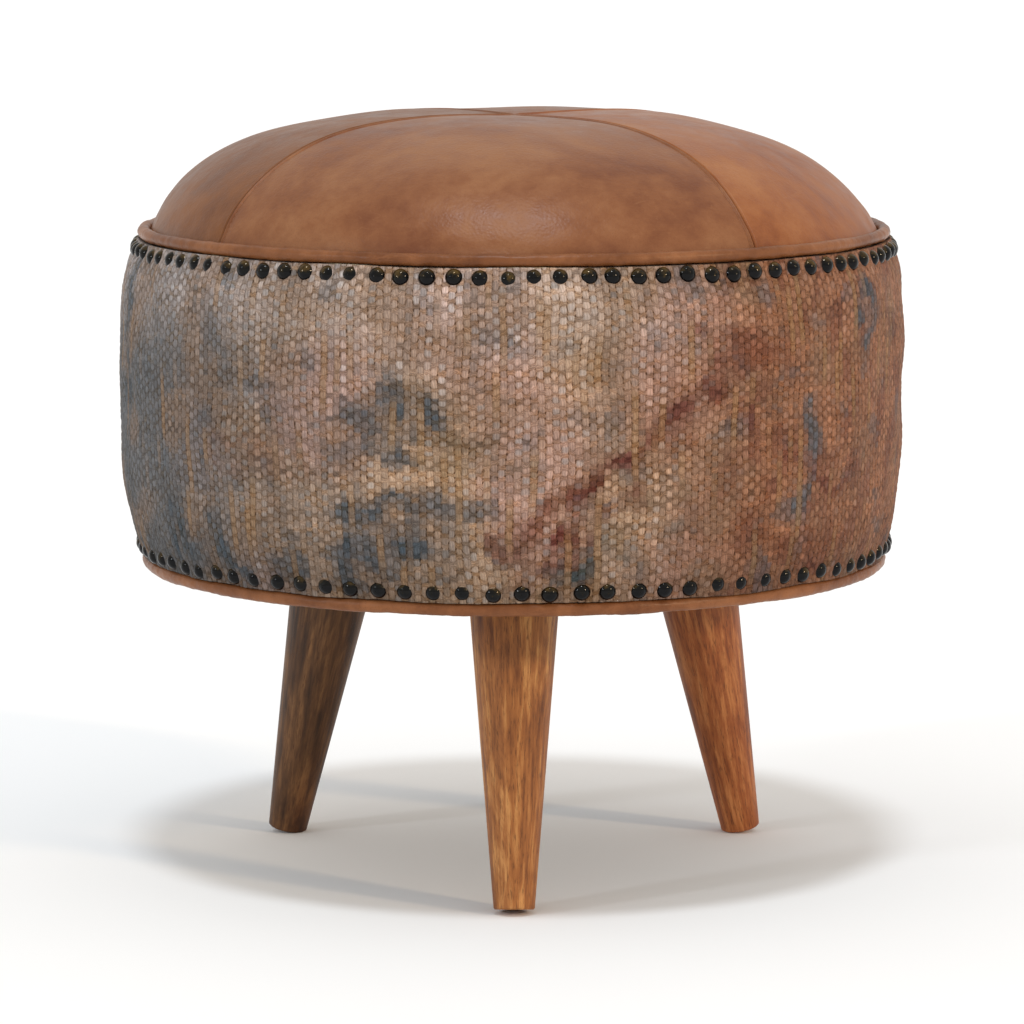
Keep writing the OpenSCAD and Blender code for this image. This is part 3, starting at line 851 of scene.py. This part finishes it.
def seam_relief(s):
    """Rise of the leather at s metres across a seam, where the stitches are on the plus side:
    a turned-in ridge each side of the joint, then the sunk line of stitches."""
    s = s / MM  # heights, places and widths below are in millimetres
    ridges = 0.95 * hump(s, -1.1, 0.75) + 0.7 * hump(s, 0.95, 0.65)
    grooves = 0.65 * hump(s, -0.05, 0.4) + 0.45 * hump(s, STITCH_OUT / MM, 0.5)
    return (ridges - grooves) * MM


def dome_outline():
    """Places (r, z) from the apex to the rim and down the skirt."""
    share = np.linspace(0, 1, DOME_ROWS)
    r = np.maximum(SKIRT_R * np.sin(share * math.pi / 2), APEX_R)
    z = dome_z(r, SKIRT_R, DOME_RISE)
    skirt_z = np.linspace(TOP_RING_Z, SKIRT_LOW, SKIRT_ROWS + 1)[1:]
    return np.append(r, np.full(SKIRT_ROWS, SKIRT_R)), np.append(z, skirt_z)


def panel_turns(r):
    """Angles from the seam for the columns of a panel, crowded near both seams."""
    quarter = math.pi / 2
    zone = np.minimum(EDGE_ZONE / r, quarter * 0.3)[:, None]
    near = zone * np.linspace(0, 1, EDGE_COLS + 1)[None, :]
    middle = zone + (quarter - 2 * zone) * np.linspace(0, 1, MIDDLE_COLS + 1)[None, 1:-1]
    return np.concatenate([near, middle, quarter - near[:, ::-1]], axis=1)


PUFF_RINGS = 34
PUFF_AROUND = 160
PUFF_START = 0.04  # share of the way out at which the first ring lies
PUFF_CAP = 1.6 * MM
SEAM_DEPTH = 1.5 * MM  # how far a seam draws the stuffing in
PUFF_PRESSURE = 60
PUFF_FRAMES = 25


def simulated_puff():
    """How far the leather stands off the plain dome when the stuffing presses on it from
    inside and its rim and seams hold it, by ring from the apex and by angle from a seam."""
    share = np.linspace(PUFF_START, 1, PUFF_RINGS)[:, None]
    r = SKIRT_R * np.sin(share * math.pi / 2)
    angle = np.arange(PUFF_AROUND)[None, :] * TAU / PUFF_AROUND
    plain = spot(angle + SEAM_ANGLES[0], r, dome_z(r, SKIRT_R, DOME_RISE))
    quads = grid_quads(PUFF_RINGS, PUFF_AROUND, close_cols=True)[:, ::-1]
    cloth = mesh_piece("puff_trial", plain, quads, bpy.data.materials.new("puff_trial"))
    held = np.zeros((PUFF_RINGS, PUFF_AROUND), bool)
    held[[0, -1], :] = True
    held[:, ::PUFF_AROUND // 4] = True
    pins = cloth.vertex_groups.new(name="held")
    pins.add(np.flatnonzero(held).tolist(), 1.0, "REPLACE")
    settings = cloth.modifiers.new("cloth", "CLOTH").settings
    settings.vertex_group_mass = pins.name
    settings.mass = 0.3
    settings.tension_stiffness = settings.compression_stiffness = 40
    settings.shear_stiffness = 20
    settings.bending_stiffness = 5
    settings.use_pressure = True
    settings.uniform_pressure_force = PUFF_PRESSURE
    settings.effector_weights.gravity = 0
    stage = bpy.context.scene
    for frame_number in range(1, PUFF_FRAMES + 1):
        stage.frame_set(frame_number)
    blown = cloth.evaluated_get(bpy.context.evaluated_depsgraph_get()).to_mesh()
    co = coordinates(blown)
    stage.frame_set(1)
    bpy.data.objects.remove(cloth)
    moved = np.linalg.norm(co.reshape(plain.shape) - plain, axis=-1)
    return moved * min(1, PUFF_CAP / moved.max())


def puff_at(puff, r, turn):
    """The puff grid's value at radius r and that angle from the first seam."""
    share = np.arcsin(np.clip(r / SKIRT_R, 0, 1)) * 2 / math.pi
    ring = np.clip((share - PUFF_START) / (1 - PUFF_START), 0, 1) * (PUFF_RINGS - 1)
    step_round = (turn % TAU) / TAU * PUFF_AROUND
    ring, step_round = np.broadcast_arrays(ring, step_round)
    low, left = np.minimum(ring.astype(int), PUFF_RINGS - 2), step_round.astype(int)
    up, on = ring - low, step_round - left
    left, right = left % PUFF_AROUND, (left + 1) % PUFF_AROUND
    inner = puff[low, left] * (1 - on) + puff[low, right] * on
    outer = puff[low + 1, left] * (1 - on) + puff[low + 1, right] * on
    return inner * (1 - up) + outer * up


def above_piping(place):
    """0 where the leather runs down behind the piping, 1 on the open dome."""
    return step(TOP_RING_Z - 2 * MM, TOP_RING_Z + 8 * MM, place[..., 2])


def seat_lean(place):
    """How far the seat stands from the plain dome: a full shoulder, slack, and to one side."""
    shoulder = hump(place[..., 2], TOP_RING_Z + 0.55 * DOME_RISE, 0.4 * DOME_RISE)
    lean = (0.8 * MM - LEAN_DOME * place[..., 0] / SKIRT_R) * shoulder
    return (lean + 0.45 * MM * ripple(place, 41, 0.09)) * above_piping(place)


def dome_rise(puff, index, place, r, turn):
    """How far the leather of panel number index stands from the plain dome, at that angle
    from the panel's first seam."""
    height = place[..., 2] - TOP_RING_Z
    first, far = STITCH_SIDES[index], STITCH_SIDES[(index + 1) % 4]
    seams = seam_relief(first * r * np.sin(turn)) + seam_relief(-far * r * np.cos(turn))
    puffed = puff_at(puff, r, turn + index * math.pi / 2) - 0.5 * PUFF_CAP
    pucker = 0.22 * MM * ripple(place, 42, 0.016) * hump(height, 4 * MM, 14 * MM)
    rise = seat_lean(place) + (puffed + pucker) * above_piping(place)
    return rise + seams * step(-6 * MM, 3 * MM, height)


def leather_panel(puff, index, name, material):
    """One panel of the seat: a closed sheet of leather from seam to seam."""
    r, z = dome_outline()
    out, up = (-side[:, None] for side in outline_normals(r, z))
    turns = panel_turns(r)
    seam = SEAM_ANGLES[index]
    r, z = r[:, None], z[:, None]
    rise = dome_rise(puff, index, spot(seam + turns, r, z), r, turns)
    outer = spot(seam + turns, r + out * rise, z + up * rise)
    under = rise - LEATHER_T
    inner = spot(seam + turns, np.maximum(r + out * under, APEX_R / 2), z + up * under)
    (rows, cols), size = turns.shape, turns.size
    front = grid_quads(rows, cols)[:, ::-1]
    edge = np.concatenate([
        np.arange(cols), np.arange(1, rows) * cols + cols - 1,
        (rows - 1) * cols + np.arange(cols - 2, -1, -1), np.arange(rows - 2, 0, -1) * cols])
    after = np.roll(edge, -1)
    rim = np.stack([edge, after, after + size, edge + size], axis=-1)
    verts = np.concatenate([outer.reshape(-1, 3), inner.reshape(-1, 3)])
    return mesh_piece(name, verts, np.concatenate([front, front[:, ::-1] + size, rim]), material)


def seam_thread(puff, material):
    """A row of stitches beside each seam, as small beads lying in the leather."""
    r, z = dome_outline()
    normal_r, normal_z = (-side for side in outline_normals(r, z))
    far = np.concatenate([[0], np.cumsum(np.hypot(np.diff(r), np.diff(z)))])
    at = np.arange(STITCH_START, far[DOME_ROWS - 1], STITCH_PITCH)
    rr, zz, out, up = (np.interp(at, far, side) for side in (r, z, normal_r, normal_z))
    places, along, outward = [], [], []
    for index, side in enumerate(STITCH_SIDES):
        turn = STITCH_OUT / rr
        panel = index if side > 0 else (index - 1) % 4
        turn = turn if side > 0 else math.pi / 2 - turn
        angle = SEAM_ANGLES[panel] + turn
        rise = dome_rise(puff, panel, spot(angle, rr, zz), rr, turn) + 0.05 * MM
        places.append(spot(angle, rr + out * rise, zz + up * rise))
        along.append(spot(angle, up, -out))
        outward.append(spot(angle, out, up))
    return beads("seam_thread", np.concatenate(places), np.concatenate(along),
                 np.concatenate(outward), 2.3 * MM, 0.6 * MM, material)


# ---- piping and hidden layers ----

PIPING_AROUND = 720
CORD_POINTS = 18
CORD_SHARE = 0.94  # of the room inside the piping
STRANDS = 3
STRAND_TWIST = 14 * MM


def circle(ring_r, ring_z, r, points):
    """Outline of a round tube laid in a ring."""
    turn = np.arange(points) * TAU / points
    return np.stack([ring_r + r * np.cos(turn), ring_z + r * np.sin(turn)], axis=-1)


def piping(name, ring_r, ring_z, r, material, node, seed):
    """Leather drawn round a cord: a smooth tube with small gathers across it."""
    def relief(angle, index, place):
        gather = ripple(place, seed, 0.006) * 0.09 * MM
        return gather + 0.15 * MM * ripple(place, seed + 1, 0.04)

    piece = turned(name, circle(ring_r, ring_z, r, 24), PIPING_AROUND, material, relief)
    ride(piece, "piping_leather", node)


def cotton_cord(name, ring_r, ring_z, r, material, node):
    """A three-strand cord, laid round inside its piping."""
    twists = round(TAU * ring_r / STRAND_TWIST)

    def relief(angle, index, place):
        return 0.12 * MM * np.cos(STRANDS * (index * TAU / CORD_POINTS - twists * angle))

    outline = circle(ring_r, ring_z, CORD_SHARE * r, CORD_POINTS)
    piece = turned(name, outline, PIPING_AROUND, material, relief)
    ride(piece, "cotton_cord", node)


def side_padding(material):
    """The foam under the rug cloth, hollowed where the fabric edges and the pipings pass."""
    rows = 40
    z = np.linspace(COVER_LOW + 0.4 * MM, COVER_HIGH - 0.4 * MM, rows)
    outer = np.stack([barrel_r(z) - COVER_T - 0.5 * MM, z], axis=-1)
    tail, near = FRAME_R + 3.6 * MM, FRAME_R + 0.3 * MM
    inner = [(tail, z[-1]), (tail, SKIRT_LOW - 0.6 * MM), (near, SKIRT_LOW - 1.2 * MM),
             (near, BOTTOM_RING_Z + 15 * MM), (tail, BOTTOM_RING_Z + 14 * MM), (tail, z[0])]

    def relief(angle, index, place):
        wide = spot(angle, WIDE_R, place[..., 2])
        return np.where(index < rows, cover_lean(angle, wide), -0.1 * MM)

    piece = turned("side_padding_foam", np.concatenate([outer, inner]), 180, material, relief)
    ride(piece, "foam", "side_padding")


def seat_stuffing(name, inset, thick, material, slot, node, seed):
    """A dome of foam, or a shell of wadding where thick is given, shaped to the leather."""
    rows = 50
    share = np.linspace(1, 0.004, rows)
    r_out = SKIRT_R - inset - 0.3 * MM
    r = r_out * np.sin(share * math.pi / 2)
    outer = np.stack([r, dome_z(r, r_out, DOME_RISE - inset - 0.3 * MM)], axis=-1)
    foot_z = SEAT_LOW + 0.2 * MM
    if thick:
        r_in = r_out - thick
        r = r_in * np.sin(share[::-1] * math.pi / 2)
        inner = np.stack([r, dome_z(r, r_in, DOME_RISE - inset - thick)], axis=-1)
        outline = np.concatenate([outer, inner, [(r_in, foot_z), (r_out, foot_z)]])
    else:
        outline = np.concatenate([outer, [(outer[-1, 0], foot_z), (r_out, foot_z)]])

    def relief(angle, index, place):
        lean = seat_lean(place) - SEAM_DEPTH * step(0, 8 * MM, place[..., 2] - TOP_RING_Z)
        lean = lean + 0.1 * MM * ripple(place, seed, 0.04)
        under = (index >= rows) & (index < 2 * rows) if thick else False
        return np.where(under, -lean, np.where(index < rows, lean, 0))

    piece = turned(name, outline, 160, material, relief)
    ride(piece, slot, node)


# ---- underside ----

CLOTH_RING = 3.5 * MM
CLOTH_AROUND = 240
CLOTH_T = 0.6 * MM
CLOTH_OFF = 0.1 * MM
PLATE_CUT = 66 * MM


def plate_cutter(node):
    """A block that cuts the base cloth round that leg plate."""
    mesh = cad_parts[node].data
    flange = np.array([v.co for v in mesh.vertices if v.co.z > BASE_Z - 1 * MM])
    x, y, _ = (flange.min(0) + flange.max(0)) / 2
    bpy.ops.mesh.primitive_cube_add(size=1, location=(x, y, BASE_Z))
    cutter = bpy.context.object
    cutter.scale = (PLATE_CUT, PLATE_CUT, 20 * MM)
    cutter.rotation_euler = (0, 0, math.atan2(y, x))
    return cutter


def base_cloth(material):
    """Black cloth stapled under the base, cut round the leg plates, slack between staples."""
    rings = int(FRAME_R / CLOTH_RING)
    r = np.linspace(1 * MM, FRAME_R, rings)[:, None]
    turn = np.arange(CLOTH_AROUND)[None, :] * TAU / CLOTH_AROUND
    top = BASE_Z - CLOTH_OFF
    verts = np.concatenate([spot(turn, r, top).reshape(-1, 3),
                            spot(turn, r[::-1], top - CLOTH_T).reshape(-1, 3)])
    quads = grid_quads(2 * rings, CLOTH_AROUND, close_cols=True, close_rows=True)[:, ::-1]
    piece = mesh_piece("base_cloth", verts, quads, material)
    cutters = [plate_cutter(f"leg_plate_{side}") for side in ("front", "right", "left")]
    for cutter in cutters:
        cut = piece.modifiers.new("cut", "BOOLEAN")
        cut.operation, cut.solver, cut.object = "DIFFERENCE", "EXACT", cutter
    graph = bpy.context.evaluated_depsgraph_get()
    mesh = bpy.data.meshes.new_from_object(piece.evaluated_get(graph))
    piece.modifiers.clear()
    piece.data = mesh
    for cutter in cutters:
        bpy.data.objects.remove(cutter)
    co = coordinates(mesh)
    flat = co * (1, 1, 0)
    slack = step(FRAME_R, FRAME_R - 60 * MM, np.linalg.norm(flat, axis=1))
    sag = slack * (0.8 + 0.5 * ripple(flat, 71, 0.08)) + 0.25 * ripple(flat, 72, 0.03)
    co[:, 2] -= np.clip(sag, 0, None) * MM
    mesh.vertices.foreach_set("co", co.astype(np.float32).ravel())
    mesh.polygons.foreach_set("use_smooth", np.full(len(mesh.polygons), True))
    mesh.update()
    ride(piece, "base_cloth", "dust_cover")


# ---- finishes of the CAD nodes ----

def paint(node, material):
    """Gives a CAD node one material all over."""
    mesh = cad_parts[node].data
    mesh.materials.clear()
    mesh.materials.append(material)
    for polygon in mesh.polygons:
        polygon.material_index = 0


LEG_TURNS = {"leg_front": -90, "leg_right": 30, "leg_left": 150}
LEG_SPLAY = 12


def paint_legs():
    """Wood on the three legs, with the grain along each leg; the left leg's wood is darkened as
    painted shade.
    """
    leg_tones_and_shade = {
        "leg_front": (tone(196, 138, 80), tone(158, 98, 50), tone(112, 64, 32), 0.95),
        "leg_right": (tone(190, 122, 70), tone(156, 88, 46), tone(112, 58, 30), 0.5),
        # painted shade: the left leg's wood is toned darker than the others
        "leg_left": (tone(132, 92, 56), tone(96, 64, 38), tone(56, 36, 22), 0.7),
    }
    for index, (node, turn) in enumerate(LEG_TURNS.items()):
        light, mid, dark, heart = leg_tones_and_shade[node]
        lean = Matrix.Rotation(math.radians(LEG_SPLAY), 3, "Y")
        align = lean @ Matrix.Rotation(math.radians(-turn), 3, "Z")
        material = wood_look(f"mango_wood_{index + 1}", align.to_euler("XYZ"),
                             (0.13 * index, 0.07 * index, 0.05), light, mid, dark, heart)
        paint(node, material)


def paint_frame():
    """Materials of the boards, posts, plates and fixings."""
    zinc = steel_look("zinc_steel", tone(196, 196, 190), tone(150, 150, 148), 0.35)
    black = steel_look("black_steel", tone(42, 42, 44), tone(22, 22, 23), 0.5)
    plywood = plywood_look()
    pine = board_look("pine", tone(226, 192, 138), tone(188, 142, 88), (1, 1, 0.1))
    hardboard = board_look("hardboard", tone(142, 104, 70), tone(108, 76, 50), (1, 1, 1))
    bronze = bronze_look()
    for node in ("leg_bolts", "plate_screws", "post_screws", "panel_pins", "seat_staples",
                 "dust_staples"):
        paint(node, zinc)
    for side in ("front", "right", "left"):
        paint(f"leg_plate_{side}", black)
    for node in ("base_board", "seat_board"):
        paint(node, plywood)
    for post in range(1, 7):
        paint(f"post_{post}", pine)
    paint("side_panel", hardboard)
    for node in ("top_nails", "bottom_nails"):
        paint(node, bronze)


# ---- stage ----

FLOOR_REACH = 60
FLOOR_CORNERS = [(-1, -1), (1, -1), (1, 1), (-1, 1)]
CAMERA_TURN = 7.73  # degrees down from level
CAMERA_FAR = 2.9607
CAMERA_TARGET = Vector((-0.0012, 0, 0.2036))
LENS = 179.4


def camera():
    """The camera at the photo's angle."""
    data = bpy.data.cameras.new("camera")
    data.lens, data.sensor_width = LENS, 36
    data.clip_end = 200
    view = add_object("camera", data)
    lift = math.radians(CAMERA_TURN)
    back = Vector((0, -math.cos(lift), math.sin(lift)))
    view.location = CAMERA_TARGET + back * CAMERA_FAR
    view.rotation_euler = (math.pi / 2 - lift, 0, 0)
    bpy.context.scene.camera = view


def sun(name, turn, height, colour, power, spread):
    """A distant soft light, by its direction round from the front and its height, in degrees."""
    data = bpy.data.lights.new(name, "SUN")
    data.color, data.energy, data.angle = colour, power, math.radians(spread)
    a, e = math.radians(turn), math.radians(height)
    way = Vector((math.sin(a) * math.cos(e), -math.cos(a) * math.cos(e), math.sin(e)))
    add_object(name, data).rotation_euler = way.to_track_quat("Z", "Y").to_euler()


def studio():
    """A pale floor, a soft white surround and three distant lights."""
    look = Look("floor", 0.9, Specular_IOR_Level=0.1)
    cloud = look.noise(look.object_place(), 0.6, 2)
    look.colour(look.ramp(cloud, (0.3, (0.93, 0.93, 0.93)), (0.7, (0.95, 0.95, 0.95))))
    corners = [(x * FLOOR_REACH, y * FLOOR_REACH, 0) for x, y in FLOOR_CORNERS]
    mesh_piece("floor", corners, [[0, 1, 2, 3]], look.material)
    world = bpy.data.worlds.new("studio")
    world.use_nodes = True
    surround = world.node_tree.nodes["Background"].inputs
    surround["Color"].default_value = (1, 0.99, 0.97, 1)
    surround["Strength"].default_value = 0.76
    bpy.context.scene.world = world
    bpy.context.scene.view_settings.view_transform = "Standard"
    sun("top_light", -3, 74, (0.86, 0.93, 1), 0.98, 8)
    sun("left_light", -56, 22, (0.88, 0.94, 1), 0.42, 5)
    sun("right_light", 56, 22, (1, 0.76, 0.5), 0.85, 5)


# ---- everything ----

# Each panel's hide tone, with painted light on the right panel and painted shade on the left
HIDE_TONES_AND_PAINTED_LIGHT = {
    "right": ((158, 103, 62), (144, 87, 49), (122, 67, 36)),
    "back": ((142, 92, 58), (126, 78, 46), (106, 64, 38)),
    "left": ((134, 87, 52), (122, 76, 43), (104, 62, 35)),
    "front": ((145, 98, 64), (130, 82, 51), (112, 66, 41)),
}


def leather_seat():
    """Four panels of leather from four hides, toned lighter on the right and darker on the left as
    painted light and shade, and the stitches beside their seams.
    """
    puff = simulated_puff()
    for index, (side, hide) in enumerate(HIDE_TONES_AND_PAINTED_LIGHT.items()):
        light, mid, dark = (tone(*c) for c in hide)
        look = leather_look(f"seat_leather_{side}", light, mid, dark, (0.31 * index, 0.2, 0.1))
        panel = leather_panel(puff, index, f"leather_{side}", look)
        ride(panel, "seat_leather", f"seat_panel_{side}")
    thread = seam_thread(puff, thread_look("seam_thread", tone(150, 98, 64), tone(116, 74, 46)))
    ride(thread, "seat_leather")


EDGES = {
    "top": (TOP_RING_R, TOP_RING_Z, TOP_PIPING_R, TOP_CORD_R, 81),
    "bottom": (BOTTOM_RING_R, BOTTOM_RING_Z, BOTTOM_PIPING_R, BOTTOM_CORD_R, 91),
}


def edgings():
    """The two leather pipings and the cords inside them."""
    leather = leather_look("piping_leather", tone(146, 94, 58), tone(124, 76, 44),
                           tone(98, 56, 30), (0.5, 0.4, 0.2))
    for edge, (ring_r, ring_z, r, _, seed) in EDGES.items():
        piping(f"{edge}_piping_leather", ring_r, ring_z, r, leather, f"{edge}_piping", seed)
    cotton = thread_look("cotton_cord", tone(226, 216, 196), tone(190, 178, 154))
    for edge, (ring_r, ring_z, _, cord_r, _) in EDGES.items():
        cotton_cord(f"{edge}_cord", ring_r, ring_z, cord_r, cotton, f"{edge}_piping_cord")


def stuffing():
    """Foam round the side, and foam and wadding under the leather."""
    foam = foam_look("foam", tone(232, 220, 178), tone(206, 190, 142), 0.0016)
    side_padding(foam)
    seat_stuffing("seat_foam_block", LEATHER_T + WADDING_T, 0, foam, "foam", "seat_foam", 53)
    wadding = foam_look("wadding", tone(240, 240, 236), tone(214, 214, 208), 0.004)
    seat_stuffing("seat_wadding_layer", LEATHER_T, WADDING_T, wadding, "wadding", "seat_wadding",
                  55)


camera()
studio()
paint_legs()
paint_frame()
rug_cover(rug_look())
leather_seat()
edgings()
stuffing()
base_cloth(base_cloth_look())
